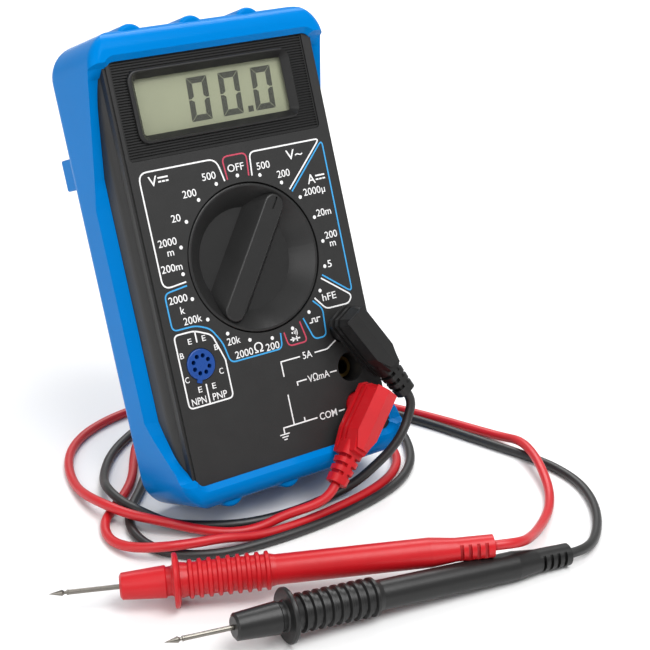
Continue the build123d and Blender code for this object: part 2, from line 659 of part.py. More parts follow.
def meter():
    """Every piece of the meter but its stand, upright in the meter's own frame."""
    return {
        "front_case": front_case(), "rear_case": rear_case(), "case_screws": case_screws(),
        "rear_shield": rear_shield(), "display_panel": display_panel(), "display_window": display_window(),
        "lcd_cell": lcd_cell(), "lcd_holder": lcd_holder(), "zebra_strips": zebra_strips(),
        "dial_knob": dial_knob(), "detent_balls": detent_balls(), "detent_springs": detent_springs(),
        "dial_contacts": dial_contacts(), "circuit_board": circuit_board(), "switch_tracks": switch_tracks(),
        "board_screws": board_screws(), "chip_blob": chip_blob(), "resistors": resistors(),
        "capacitors": capacitors(), "diodes": diodes(), "trimmer": trimmer(), "shunt_wire": shunt_wire(),
        "fuse": fuse(), "fuse_caps": fuse_caps(), "fuse_clips": fuse_clips(), "buzzer": buzzer(),
        "transistor_socket": transistor_socket(), "socket_contacts": socket_contacts(),
        "jack_5a": jack("5a"), "jack_vohm": jack("vohm"), "jack_com": jack("com"),
        "battery": battery(), "battery_terminals": battery_terminals(), "battery_snap": battery_snap(),
        "battery_lead_red": battery_lead(-28.0, 8.0, -26.0, 14.0),
        "battery_lead_black": battery_lead(-26.0, 4.0, -27.5, 17.5),
        "boot": boot(), "kickstand_pin": kickstand_pin(),
    }


def standing_meter():
    """The meter leaning on its open stand, its lowest edge on Z = 0 and its box centred."""
    nodes = {name: LEANED * shape for name, shape in meter().items()}
    opened = foot_angle(nodes["boot"].bounding_box().min.Z)
    hinge = Pos(0, HINGE_Y, HINGE_Z)
    nodes["kickstand"] = LEANED * hinge * Rot(opened, 0, 0) * hinge.inverse() * kickstand_closed()
    boxes = [shape.bounding_box() for shape in nodes.values()]
    front, back = min(box.min.Y for box in boxes), max(box.max.Y for box in boxes)
    place = Pos(0, -(front + back) / 2, -min(box.min.Z for box in boxes))
    return {name: place * shape for name, shape in nodes.items()}, place * LEANED, opened


def probe_frame(colour):
    """A probe stands on its finger guard; local x runs from the tip to the tail."""
    tail = Vector(*PROBE_TAIL[colour])
    heading = radians(PROBE_HEADING[colour])
    drop = (PROBE_GUARD_R + 0.03 - tail.Z) / (PROBE_L - GUARD_AT)
    along = Vector(cos(heading), sin(heading), -drop).normalized()
    side = Vector(-sin(heading), cos(heading), 0)
    return Location(Plane(origin=tail - along * PROBE_L, x_dir=along, z_dir=along.cross(side)))


# ---- cords -----------------------------------------------------------------------------------
# Each route runs from the plug to the probe. Its ends are worked out from them.
CORD_ROUTE = {
    "red": [
        (-1.0, -41.6, 5.6), (-8.5, -38.9, 4.0), (-16.5, -37.3, LAID), (-24.5, -34.2, LAID),
        (-31.5, -28.9, 2.6), (-38.0, -23.6, OVER), (-43.0, -16.2, OVER), (-45.8, -8.0, OVER),
        (-46.5, 1.0, 3.0), (-45.4, 10.0, LAID), (-42.5, 20.0, LAID), (-37.5, 29.0, LAID),
        (-30.0, 36.0, LAID), (-20.5, 40.5, LAID), (-10.0, 42.6, LAID), (1.0, 43.6, LAID),
        (12.0, 43.2, LAID), (22.5, 40.6, LAID), (31.0, 36.0, 3.6), (36.3, 28.6, OVER),
        (38.4, 19.0, OVER), (39.6, 9.5, OVER), (41.0, 0.5, 2.6), (42.1, -8.5, LAID),
        (41.8, -17.5, LAID), (39.2, -25.5, LAID), (34.4, -31.2, LAID), (28.0, -35.2, LAID),
        (20.0, -37.9, LAID), (11.0, -39.6, LAID), (1.0, -40.8, LAID), (-9.0, -41.3, LAID),
        (-19.0, -40.9, 1.8), (-28.0, -39.9, 4.1), (-36.5, -38.3, OVER), (-44.6, -35.2, OVER),
        (-49.8, -28.6, 2.8), (-51.2, -20.5, LAID), (-48.8, -12.6, LAID), (-42.9, -6.6, LAID),
        (-35.8, -1.0, LAID), (-29.8, 5.8, LAID), (-24.8, 14.2, LAID), (-19.0, 23.2, LAID),
        (-9.6, 30.0, LAID), (2.5, 32.0, LAID), (15.0, 31.6, LAID), (27.0, 27.8, LAID),
        (37.5, 20.8, LAID), (47.0, 12.6, LAID), (54.6, 4.0, LAID), (60.0, -6.0, LAID),
        (64.9, -16.6, LAID), (69.0, -26.6, LAID), (71.2, -34.6, 2.0), (71.0, -42.8, OVER),
        (68.6, -51.0, OVER), (65.0, -59.0, 3.4), (60.9, -66.2, 2.0), (55.2, -72.4, 1.6),
        (48.4, -77.8, 2.6), (41.4, -82.8, 4.4), (34.6, -87.6, 7.0), (28.6, -91.2, 9.4),
    ],
    "black": [
        (33.9, -36.6, 19.9), (30.6, -38.1, 16.2), (27.0, -38.1, 12.4), (22.8, -37.2, 8.8),
        (17.6, -36.2, 5.0), (11.0, -34.6, 2.0), (2.0, -34.9, LAID), (-9.0, -34.9, LAID),
        (-19.0, -32.6, LAID), (-27.6, -27.4, LAID), (-34.6, -22.8, 1.9), (-39.6, -16.5, 4.3),
        (-41.4, -9.0, OVER), (-41.2, -1.0, OVER), (-38.4, 6.6, 2.4), (-34.4, 13.6, LAID),
        (-29.0, 20.4, LAID), (-22.0, 26.2, LAID), (-13.0, 31.6, LAID), (-2.0, 35.0, LAID),
        (10.0, 36.2, LAID), (22.0, 34.4, LAID), (31.5, 30.2, LAID), (39.4, 24.6, LAID),
        (46.0, 17.4, 4.4), (49.6, 8.8, OVER), (51.0, 0.4, OVER), (50.6, -8.0, 2.6),
        (48.6, -16.6, LAID), (44.6, -24.8, LAID), (39.0, -32.0, LAID), (30.9, -37.8, LAID),
        (21.0, -41.2, LAID), (10.5, -43.2, LAID), (0.0, -44.3, LAID), (-10.5, -44.5, LAID),
        (-20.5, -43.9, LAID), (-30.0, -42.6, LAID), (-38.4, -38.2, LAID), (-43.6, -30.8, LAID),
        (-44.6, -22.4, LAID), (-42.2, -14.4, LAID), (-37.4, -7.6, LAID), (-31.6, -1.8, LAID),
        (-25.4, 5.8, LAID), (-19.2, 14.8, LAID), (-12.0, 24.2, LAID), (-2.0, 28.0, LAID),
        (10.0, 27.8, LAID), (21.0, 24.6, LAID), (31.4, 19.2, LAID), (41.0, 12.6, LAID),
        (49.4, 4.6, LAID), (55.4, -5.0, LAID), (60.0, -15.6, LAID), (63.6, -27.0, LAID),
        (66.8, -37.0, LAID), (70.2, -46.8, LAID), (72.4, -57.0, LAID), (71.6, -67.6, LAID),
        (67.0, -77.6, LAID), (60.2, -86.0, LAID), (52.2, -92.6, 1.7),
    ],
}
PLUG_LEAVE, PROBE_LEAVE = 3.2, 4.2       # straight run out of the plug and of the probe's tail


def cord_points(colour, place):
    """The whole route of a cord: out of the plug, over the table and into the probe's tail."""
    plug, probe = place * plug_frame(colour), probe_frame(colour)
    start = plug * Pos(PLUG_TAIL, 0, CORD_HEIGHT)
    leave = plug * Pos(PLUG_TAIL + PLUG_LEAVE, 0, CORD_HEIGHT)
    arrive, end = probe * Pos(PROBE_L + PROBE_LEAVE, 0, 0), probe * Pos(PROBE_L, 0, 0)
    inner = [Vector(*point) for point in CORD_ROUTE[colour]]
    return [start.position, leave.position, *inner, arrive.position, end.position]


def corner_radii(points):
    """As large an arc at each corner as its two runs allow."""
    radii = []
    for before, corner, after in zip(points, points[1:], points[2:]):
        first, second = corner - before, after - corner
        half_turn = radians(first.get_angle(second)) / 2
        radii.append(0.45 * min(first.length, second.length) / tan(half_turn))
    return radii


def cord(colour, place):
    points = cord_points(colour, place)
    radii = corner_radii(points)
    path = FilletPolyline(*points, radius=radii)
    tube = sweep(Plane(origin=path @ 0, z_dir=path % 0) * Circle(CORD_D / 2), path=path)
    expected = pi * CORD_D ** 2 / 4 * path.length
    print(colour, "cord: length", round(path.length, 1), "volume against section times length",
          round(tube.volume / expected, 4))
    print("  radii", [round(radius, 1) for radius in radii])
    for end in (0, 1):
        point, along = path @ end, path % end
        print("  end", [round(v, 2) for v in point], "direction", [round(v, 3) for v in along])
    return tube


# ---- run -------------------------------------------------------------------------------------
def build():
    nodes, place, opened = standing_meter()
    for colour in ("red", "black"):
        plug, probe = place * plug_frame(colour), probe_frame(colour)
        nodes[f"{colour}_plug_body"] = plug * plug_body()
        nodes[f"{colour}_plug_pin"] = plug * plug_pin()
        nodes[f"{colour}_plug_spring"] = plug * plug_spring()
        nodes[f"{colour}_probe_tip"] = probe * probe_tip()
        nodes[f"{colour}_probe_nose"] = probe * probe_nose()
        nodes[f"{colour}_probe_handle"] = probe * probe_handle()
        nodes[f"{colour}_cord"] = cord(colour, place)
    print("stand opens by", round(opened, 2), "degrees; dial's centre at",
          [round(v, 3) for v in place.position])
    return nodes


if __name__ == "__main__":
    os.makedirs("parts", exist_ok=True)
    for name, shape in build().items():
        export_step(shape, f"parts/{name}.step")
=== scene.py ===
import json
import math
import bpy
import bmesh
from mathutils import Matrix, Vector


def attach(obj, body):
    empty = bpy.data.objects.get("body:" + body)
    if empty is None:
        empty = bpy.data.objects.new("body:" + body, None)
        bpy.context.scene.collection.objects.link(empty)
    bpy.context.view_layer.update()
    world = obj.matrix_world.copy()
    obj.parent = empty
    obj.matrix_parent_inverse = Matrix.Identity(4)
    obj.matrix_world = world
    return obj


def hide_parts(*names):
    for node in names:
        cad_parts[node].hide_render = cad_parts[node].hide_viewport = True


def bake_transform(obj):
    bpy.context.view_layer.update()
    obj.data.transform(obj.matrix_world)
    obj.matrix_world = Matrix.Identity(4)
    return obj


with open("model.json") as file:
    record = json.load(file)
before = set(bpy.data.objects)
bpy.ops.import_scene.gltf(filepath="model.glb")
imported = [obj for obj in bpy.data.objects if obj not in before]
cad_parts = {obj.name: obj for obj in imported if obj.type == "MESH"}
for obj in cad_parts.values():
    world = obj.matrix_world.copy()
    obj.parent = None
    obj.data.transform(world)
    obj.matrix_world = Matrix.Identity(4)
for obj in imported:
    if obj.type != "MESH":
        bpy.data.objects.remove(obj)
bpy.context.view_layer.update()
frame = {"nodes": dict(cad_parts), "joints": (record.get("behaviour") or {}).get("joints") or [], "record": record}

# Looks of a digital multimeter with its two test leads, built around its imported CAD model.
# Lengths are in millimetres until a mesh is made, when they become metres.
MM = 0.001

# ---- the meter's own frame -------------------------------------------------------------------
# x to the right and y up the face from the dial's centre, z out of the face.
joints = {joint["name"]: joint for joint in frame["joints"]}
RIGHT = Vector((1, 0, 0))
OUT = Vector(joints["dial_turn"]["axis"]).normalized()
UP = OUT.cross(RIGHT)
DIAL = Vector(joints["dial_turn"]["pos_m"])
FACE = Matrix.Translation(DIAL) @ Matrix((RIGHT, UP, OUT)).transposed().to_4x4() @ Matrix.Scale(MM, 4)


def collection_add(obj):
    """The object, linked into the scene."""
    bpy.context.scene.collection.objects.link(obj)
    return obj


def face_piece(name, bm, material):
    """A flat-faced piece from a bmesh in the meter's own frame, fixed to the case."""
    bm.transform(FACE)
    bmesh.ops.recalc_face_normals(bm, faces=bm.faces)
    mesh = bpy.data.meshes.new(name)
    bm.to_mesh(mesh)
    bm.free()
    mesh.materials.append(material)
    for polygon in mesh.polygons:
        polygon.use_smooth = False    # a font's faces come smooth
    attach(collection_add(bpy.data.objects.new(name, mesh)), "root")


# ---- camera, light and floor -----------------------------------------------------------------
CAMERA_PLACE = (-0.21419, -0.344346, 0.21956)
CAMERA_AZIMUTH, CAMERA_TILT, CAMERA_ROLL = 35.50, 23.58, 0.68
CAMERA_LENS = 88.6


def add_camera():
    """The view of the meter from its left front."""
    camera = collection_add(bpy.data.objects.new("camera", bpy.data.cameras.new("camera")))
    camera.data.lens = CAMERA_LENS
    camera.data.sensor_width = 36
    camera.data.clip_start = 0.01
    turn = Matrix.Rotation(math.radians(-CAMERA_AZIMUTH), 4, "Z")
    tilt = Matrix.Rotation(math.radians(90 - CAMERA_TILT), 4, "X")
    roll = Matrix.Rotation(math.radians(CAMERA_ROLL), 4, "Z")
    camera.matrix_world = Matrix.Translation(CAMERA_PLACE) @ turn @ tilt @ roll
    bpy.context.scene.camera = camera


def add_light(name, place, target, size, power):
    """A rectangular lamp at a place, turned towards a target; metres and watts."""
    data = bpy.data.lights.new(name, "AREA")
    data.shape = "RECTANGLE"
    data.size, data.size_y = size
    data.energy = power
    light = collection_add(bpy.data.objects.new(name, data))
    light.location = place
    light.rotation_euler = (Vector(target) - Vector(place)).to_track_quat("-Z", "Y").to_euler()


def add_studio():
    """White surroundings, four soft lamps and a pale floor."""
    world = bpy.data.worlds.new("studio")
    bpy.context.scene.world = world
    world.use_nodes = True
    background = world.node_tree.nodes["Background"]
    background.inputs["Color"].default_value = (1, 1, 1, 1)
    background.inputs["Strength"].default_value = 0.5
    middle = (0, -0.03, 0.05)
    add_light("key", (0.1, -0.45, 0.8), middle, (0.6, 0.6), 7.5)
    add_light("left_panel", (-0.75, 0.05, 0.25), middle, (0.25, 0.6), 0.8)
    add_light("back_floor", (0.6, 1.0, 1.3), (0.9, 1.3, 0), (1.2, 1.2), 30)
    add_light("fill", (-0.7, -0.4, 0.5), middle, (0.6, 0.6), 2.6)
    bm = bmesh.new()
    bmesh.ops.create_grid(bm, x_segments=1, y_segments=1, size=2.5)
    mesh = bpy.data.meshes.new("floor")
    bm.to_mesh(mesh)
    bm.free()
    floor = collection_add(bpy.data.objects.new("floor", mesh))
    paint = bpy.data.materials.new("floor")
    paint.use_nodes = True
    shader = paint.node_tree.nodes["Principled BSDF"]
    shader.inputs["Base Color"].default_value = (0.78, 0.78, 0.78, 1)
    shader.inputs["Roughness"].default_value = 0.7
    mesh.materials.append(paint)
    bpy.context.scene.view_settings.view_transform = "Standard"


# ---- materials -------------------------------------------------------------------------------
def linear(code):
    """A colour's linear values from its hexadecimal code."""
    values = [int(code[i:i + 2], 16) / 255 for i in (0, 2, 4)]
    return [v / 12.92 if v <= 0.04045 else ((v + 0.055) / 1.055) ** 2.4 for v in values]


def finish(name, code, roughness, grain=900.0, bump=0.15, mottle=0.12, rough_vary=0.08, streak=None,
           **sockets):
    """A moulded or worked surface: mottled colour, uneven gloss and a fine grain in the surface.

    grain is in cycles per metre, mottle the share that the colour varies by. streak stretches the
    grain along one axis, as brushing or turning does."""
    material = bpy.data.materials.new(name)
    material.use_nodes = True
    nodes, links = material.node_tree.nodes, material.node_tree.links
    shader = nodes["Principled BSDF"]
    place = nodes.new("ShaderNodeTexCoord")
    mapping = nodes.new("ShaderNodeMapping")
    mapping.inputs["Scale"].default_value = streak or (1, 1, 1)
    links.new(place.outputs["Object"], mapping.inputs["Vector"])

    broad = nodes.new("ShaderNodeTexNoise")
    broad.inputs["Scale"].default_value = grain / 12
    broad.inputs["Detail"].default_value = 3
    fine = nodes.new("ShaderNodeTexNoise")
    fine.inputs["Scale"].default_value = grain
    fine.inputs["Detail"].default_value = 4
    for noise in (broad, fine):
        links.new(mapping.outputs["Vector"], noise.inputs["Vector"])

    ramp = nodes.new("ShaderNodeValToRGB")
    colour = linear(code)
    low, high = ramp.color_ramp.elements
    low.position, high.position = 0.3, 0.7
    low.color = [c * (1 - mottle) for c in colour] + [1]
    high.color = [min(1, c * (1 + mottle)) for c in colour] + [1]
    links.new(broad.outputs["Fac"], ramp.inputs["Fac"])
    links.new(ramp.outputs["Color"], shader.inputs["Base Color"])

    spread = nodes.new("ShaderNodeMapRange")
    spread.inputs["To Min"].default_value = max(0.02, roughness - rough_vary)
    spread.inputs["To Max"].default_value = min(1, roughness + rough_vary)
    links.new(fine.outputs["Fac"], spread.inputs["Value"])
    links.new(spread.outputs["Result"], shader.inputs["Roughness"])

    relief = nodes.new("ShaderNodeBump")
    relief.inputs["Strength"].default_value = bump
    relief.inputs["Distance"].default_value = 0.0001
    links.new(fine.outputs["Fac"], relief.inputs["Height"])
    links.new(relief.outputs["Normal"], shader.inputs["Normal"])
    for socket, value in sockets.items():
        shader.inputs[socket.replace("_", " ")].default_value = value
    return material


MATERIALS = {
    "case": finish("case", "262626", 0.42, grain=2600, bump=0.25, mottle=0.06, Specular_IOR_Level=0.3),
    "boot": finish("boot", "006fb8", 0.2, grain=420, bump=0.03, mottle=0.03, Specular_IOR_Level=0.07,
                   Specular_Tint=(0.2, 0.6, 1.0, 1)),
    "screw": finish("screw", "9a9a98", 0.35, Metallic=1.0),
    "foil": finish("foil", "c8c8c8", 0.3, grain=500, Metallic=1.0),
    "panel": finish("panel", "1c1c1c", 0.38, grain=2600, bump=0.15, mottle=0.06, Specular_IOR_Level=0.3),
    "lcd": finish("lcd", "80846a", 0.45, grain=1500, bump=0.03, mottle=0.03),
    "inner_plastic": finish("inner_plastic", "b9b9b2", 0.5),
    "zebra": finish("zebra", "77777c", 0.6, grain=3000, streak=(1, 0.05, 0.05)),
    "dial": finish("dial", "202020", 0.36, grain=2600, bump=0.18, mottle=0.06, Specular_IOR_Level=0.35),
    "steel": finish("steel", "b5b5b8", 0.25, Metallic=1.0),
    "gilt": finish("gilt", "c9a24f", 0.3, Metallic=1.0),
    "board": finish("board", "14502a", 0.35, grain=700, Coat_Weight=0.3),
    "potting": finish("potting", "151515", 0.2),
    "resistor": finish("resistor", "7aa0bb", 0.35),
    "capacitor": finish("capacitor", "7a3d16", 0.3),
    "diode": finish("diode", "a8501f", 0.15),
    "trim": finish("trim", "204a9c", 0.3),
    "copper": finish("copper", "b8764a", 0.3, Metallic=1.0),
    "nickel": finish("nickel", "7f7b74", 0.3, grain=1800, bump=0.1, mottle=0.05, streak=(1, 0.1, 0.1),
                     Metallic=1.0),
    "socket": finish("socket", "083c84", 0.3, grain=1500, bump=0.1, mottle=0.05),
    # brass: a darker colour than bare brass, as painted shade, so the contacts deep in the socket wells look dark
    "brass": finish("brass", "80693a", 0.32, grain=1800, bump=0.1, streak=(0.1, 1, 1), Metallic=1.0),
    "battery": finish("battery", "22242a", 0.3, Metallic=0.4),
    "snap": finish("snap", "1d1d1d", 0.5),
    "wire_red": finish("wire_red", "b01217", 0.4),
    "wire_black": finish("wire_black", "1a1a1a", 0.4),
    "stand": finish("stand", "0060a8", 0.35, grain=900, bump=0.1, mottle=0.05),
    "red_mould": finish("red_mould", "b6141c", 0.34, grain=1200, bump=0.12, mottle=0.05,
                        Specular_IOR_Level=0.35),
    "black_mould": finish("black_mould", "1b1b1b", 0.36, grain=1200, bump=0.14, mottle=0.08,
                          Specular_IOR_Level=0.35),
    "red_cord": finish("red_cord", "b6151d", 0.38, grain=1400, bump=0.1, mottle=0.06),
    "white_print": finish("white_print", "dcdcdc", 0.5, grain=1500, bump=0.02, mottle=0.03),
    "blue_print": finish("blue_print", "2f93cc", 0.5, grain=1500, bump=0.02, mottle=0.03),
    "red_print": finish("red_print", "b03850", 0.5, grain=1500, bump=0.02, mottle=0.03),
    "figures": finish("figures", "0a0d0b", 0.5, grain=1500, bump=0.02, mottle=0.05, Specular_IOR_Level=0.15),
    "black_cord": finish("black_cord", "202020", 0.4, grain=1400, bump=0.1, mottle=0.08),
}


def clear_glass(name, code, alpha, roughness):
    """Thin clear plastic: mostly see-through, with a faint haze of fine scratches."""
    material = finish(name, code, roughness, grain=1600, bump=0.03, mottle=0.04, rough_vary=0.04)
    shader = material.node_tree.nodes["Principled BSDF"]
    shader.inputs["Alpha"].default_value = alpha
    return material


MATERIALS["window"] = clear_glass("window", "c9ccbc", 0.05, 0.08)
MATERIALS["fuse"] = clear_glass("fuse", "d8e0e0", 0.3, 0.05)


def paint_cad_nodes():
    """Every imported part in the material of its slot."""
    slots = {entry["node"]: entry["material_slot"] for entry in frame["record"]["subparts"]}
    for name, node in frame["nodes"].items():
        node.data.materials.clear()
        node.data.materials.append(MATERIALS[slots[name]])


# ---- printing on the face --------------------------------------------------------------------
PRINT_LOW, PRINT_HIGH = -0.03, 0.04   # a print's underside in the face, and its top
LINE, THIN_LINE, SIGN_LINE = 0.4, 0.36, 0.42
SYMBOL_LINE = 0.35
LETTER, BIG_LETTER, SMALL_LETTER = 1.9, 2.6, 1.5
LETTER_WEIGHT = 0.004                 # how far a letter's outline is let out, per unit of its size
SHARP = 0.01                          # rounding of a corner that is to look sharp
POSITIONS, DOT_RING, DOT_R = 20, 22.0, 0.5
printed = {colour: [] for colour in ("white", "blue", "red")}


def solid_outline(bm, points, low, high):
    """A flat plate with this outline, between two heights."""
    under = [bm.verts.new((x, y, low)) for x, y in points]
    over = [bm.verts.new((x, y, high)) for x, y in points]
    bm.faces.new(list(reversed(under)))
    bm.faces.new(over)
    for i in range(len(points)):
        k = (i + 1) % len(points)
        bm.faces.new((under[i], under[k], over[k], over[i]))


def rounded(points, radius):
    """The line through these points with its corners rounded."""
    line = [Vector(points[0])]
    for before, corner, after in zip(points, points[1:], points[2:]):
        before, corner, after = Vector(before), Vector(corner), Vector(after)
        reach = min(radius, (before - corner).length / 2, (after - corner).length / 2)
        first = corner + (before - corner).normalized() * reach
        last = corner + (after - corner).normalized() * reach
        for step in range(7):
            t = step / 6
            line.append(first * (1 - t) ** 2 + corner * 2 * t * (1 - t) + last * t ** 2)
    line.append(Vector(points[-1]))
    return line


def ribbon(bm, line, width=LINE, low=PRINT_LOW, high=PRINT_HIGH):
    """A flat band of this width along a line."""
    line = [point for i, point in enumerate(line) if i == 0 or (point - line[i - 1]).length > 1e-4]
    sections = []
    for i, point in enumerate(line):
        into = (point - line[i - 1]).normalized() if i else (line[1] - point).normalized()
        out = (line[i + 1] - point).normalized() if i + 1 < len(line) else into
        across = Vector((-(into + out).y, (into + out).x)).normalized()
        square = Vector((-into.y, into.x))
        offset = across * (width / 2 / max(0.3, across.dot(square)))
        first, second = point + offset, point - offset
        corners = ((first, low), (second, low), (second, high), (first, high))
        sections.append([bm.verts.new((place.x, place.y, z)) for place, z in corners])
    for first, second in zip(sections, sections[1:]):
        for k in range(4):
            bm.faces.new((first[k], first[(k + 1) % 4], second[(k + 1) % 4], second[k]))
    bm.faces.new(sections[0])
    bm.faces.new(sections[-1])


def stroke(colour, points, radius=1.0, width=LINE):
    """A printed line through these points."""
    bm = bmesh.new()
    ribbon(bm, rounded(points, radius), width)
    printed[colour].append(bm)


def plate(colour, points):
    """A printed area with this outline."""
    bm = bmesh.new()
    solid_outline(bm, points, PRINT_LOW, PRINT_HIGH)
    printed[colour].append(bm)


def spot(colour, x, y, radius, sides=24):
    """A printed round dot."""
    turns = [2 * math.pi * k / sides for k in range(sides)]
    plate(colour, [(x + radius * math.cos(a), y + radius * math.sin(a)) for a in turns])


def lettering(text):
    """Raised letters of the font's own size, as a bmesh that stands on its base line."""
    curve = bpy.data.curves.new("letters", "FONT")
    curve.body = text
    curve.extrude = 0.1
    curve.offset = LETTER_WEIGHT
    curve.resolution_u = 4
    holder = collection_add(bpy.data.objects.new("letters", curve))
    mesh = bpy.data.meshes.new_from_object(holder)
    bm = bmesh.new()
    bm.from_mesh(mesh)
    bpy.data.objects.remove(holder)
    bpy.data.curves.remove(curve)
    bpy.data.meshes.remove(mesh)
    bmesh.ops.remove_doubles(bm, verts=bm.verts, dist=1e-5)
    return bm


def cap_height():
    """A capital's foot and its height, at the font's own size."""
    bm = lettering("H")
    top = max(v.co.y for v in bm.verts)
    low = min(v.co.y for v in bm.verts)
    bm.free()
    return low, top - low


CAP_LOW, CAP = cap_height()


def label(text, x, y, width, height=LETTER):
    """A white label centred on a point; its width is that of the whole word."""
    bm = lettering(text)
    left = min(v.co.x for v in bm.verts)
    right = max(v.co.x for v in bm.verts)
    wide, tall = width / (right - left), height / CAP
    for v in bm.verts:
        v.co.x = x + (v.co.x - (left + right) / 2) * wide
        v.co.y = y + (v.co.y - CAP_LOW - CAP / 2) * tall
        v.co.z = PRINT_HIGH if v.co.z > 0 else PRINT_LOW
    printed["white"].append(bm)


def direct_sign(x, y, width=3.0):
    """The direct-current sign: a bar over three dashes."""
    stroke("white", [(x - width / 2, y + 0.5), (x + width / 2, y + 0.5)], width=SIGN_LINE)
    dash = width / 3.6
    for k in (-1, 0, 1):
        middle = x + k * (width - dash) / 2
        stroke("white", [(middle - dash / 2, y - 0.5), (middle + dash / 2, y - 0.5)], width=SIGN_LINE)


def print_ranges():
    """The lines round the ranges, each open towards the dial."""
    stroke("white", [(-21.6, -2.1), (-28.5, -2.8), (-28.5, 27.4), (-5.4, 27.4), (-4.1, 21.2)], 2.6)
    stroke("red", [(-3.2, 21.4), (-3.6, 27.5), (4.0, 27.5), (3.4, 21.4)], 1.8)
    stroke("white", [(4.4, 21.2), (5.0, 27.4), (27.6, 27.4), (15.0, 15.6)], 1.6)
    stroke("blue", [(15.6, 14.9), (28.3, 27.0), (28.0, -15.4), (19.5, -8.9)], 1.8)
    stroke("white", [(18.9, -9.7), (27.6, -16.2), (26.2, -18.2), (18.6, -18.1), (15.6, -14.5)], 1.2)
    stroke("blue", [(14.8, -15.1), (17.4, -17.7), (16.8, -25.3), (12.9, -25.3), (10.7, -19.0)], 1.4)
    stroke("red", [(3.9, -21.4), (4.5, -25.3), (10.6, -25.3), (9.4, -19.6)], 1.4)
    stroke("blue", [(2.8, -21.3), (2.4, -25.4), (-13.8, -25.4), (-14.9, -19.8), (-17.6, -15.4),
                    (-21.6, -13.7), (-28.5, -13.7), (-28.5, -3.9), (-21.6, -3.1)], 1.6)


def print_transistor_box():
    """The frame round the transistor socket with the names of its contacts."""
    stroke("white", [(-15.2, -24.0), (-15.2, -34.3), (-28.5, -34.3), (-28.5, -14.9), (-22.4, -14.9),
                     (-17.6, -17.0), (-15.2, -24.2)], 1.4)
    stroke("white", [(-22.3, -15.0), (-22.3, -18.0)])
    stroke("white", [(-22.3, -29.0), (-22.3, -34.2)])
    for x in (-24.3, -20.1):
        label("E", x, -17.3, 1.1, SMALL_LETTER)
        label("E", x, -30.0, 1.1, SMALL_LETTER)
    for x in (-27.4, -17.1):
        label("B", x, -20.4, 1.1, SMALL_LETTER)
        label("C", x, -26.8, 1.2, SMALL_LETTER)
    label("NPN", -25.3, -32.8, 4.3, 1.8)
    label("PNP", -19.0, -32.8, 4.3, 1.8)


RANGE_LABELS = (                      # text, middle, width
    ("500", (-8.5, 23.3), 4.1), ("200", (-15.2, 19.9), 4.1), ("20", (-20.6, 14.4), 2.7),
    ("2000", (-24.5, 8.8), 5.4), ("m", (-24.2, 6.2), 1.9), ("200m", (-24.8, 2.2), 6.1),
    ("2000", (-25.0, -6.0), 5.5), ("k", (-24.4, -9.0), 1.2), ("200k", (-22.1, -12.0), 5.4),
    ("20k", (-11.6, -20.0), 4.0), ("2000", (-9.3, -23.9), 5.5), ("200", (-0.4, -24.1), 4.2),
    ("hFE", (20.3, -15.0), 4.5), ("5", (22.6, -6.4), 1.3), ("200", (25.0, 1.3), 4.0),
    ("m", (25.0, -1.0), 1.9), ("20m", (24.2, 7.7), 4.7), ("2000\u00b5", (22.6, 13.9), 7.0),
    ("200", (14.1, 20.1), 4.0), ("500", (8.4, 23.3), 4.1), ("OFF", (0.0, 24.2), 5.0),
)


def print_labels():
    """The ranges' values, units and symbols."""
    for text, (x, y), width in RANGE_LABELS:
        label(text, x, y, width)
    label("V", -24.8, 24.8, 2.5, BIG_LETTER)
    direct_sign(-21.8, 24.9)
    label("V~", 18.7, 24.6, 5.2, BIG_LETTER)
    label("A", 22.4, 17.1, 2.5, 2.5)
    direct_sign(25.4, 17.2)
    label("\u03a9", -4.7, -23.5, 2.7, 2.5)
    # square wave
    stroke("white", [(12.4, -20.8), (13.4, -20.8), (13.4, -19.8), (14.3, -19.8), (14.3, -20.8),
                     (15.0, -20.8), (15.0, -19.8), (16.1, -19.8)], SHARP, 0.3)
    # diode, and the buzzer's sound above it
    stroke("white", [(5.4, -23.8), (8.5, -23.8)], width=SYMBOL_LINE)
    plate("white", [(6.0, -23.1), (6.0, -24.5), (7.3, -23.8)])
    stroke("white", [(7.5, -23.1), (7.5, -24.5)], width=SYMBOL_LINE)
    spot("white", 6.4, -22.1, 0.25)
    for reach in (0.7, 1.15, 1.6):
        arc = [(6.4 + reach * math.cos(a), -22.1 + reach * math.sin(a)) for a in (-0.6, -0.3, 0, 0.3, 0.6)]
        stroke("white", arc, 0.1, 0.2)


def print_dots():
    """A dot for each of the dial's positions."""
    for step in range(POSITIONS):
        turn = 2 * math.pi * step / POSITIONS
        spot("white", DOT_RING * math.sin(turn), DOT_RING * math.cos(turn), DOT_R)


def print_sockets():
    """Names of the three sockets with the lines that lead to them."""
    label("5A", 9.6, -28.8, 3.0)
    label("V\u03a9mA", 11.7, -35.3, 7.0)
    label("COM", 12.2, -46.1, 5.6)
    stroke("white", [(1.05, -32.9), (1.05, -28.8), (7.2, -28.8)], SHARP, THIN_LINE)
    stroke("white", [(12.0, -28.8), (16.2, -28.8), (19.4, -27.1)], 0.6, THIN_LINE)
    stroke("white", [(4.7, -36.2), (4.7, -35.2), (7.8, -35.2)], SHARP, THIN_LINE)
    stroke("white", [(15.5, -35.2), (17.7, -35.2)], width=THIN_LINE)
    stroke("white", [(-2.4, -47.6), (-2.4, -46.1), (8.6, -46.1)], SHARP, THIN_LINE)
    stroke("white", [(15.7, -46.1), (17.7, -46.1)], width=THIN_LINE)
    stroke("white", [(1.05, -37.8), (1.05, -46.0)], width=THIN_LINE)
    stroke("white", [(4.6, -44.9), (4.6, -46.0)], width=THIN_LINE)
    for drop, reach in ((0, 1.5), (0.7, 1.0), (1.4, 0.5)):
        stroke("white", [(-2.4 - reach, -47.8 - drop), (-2.4 + reach, -47.8 - drop)], width=0.3)


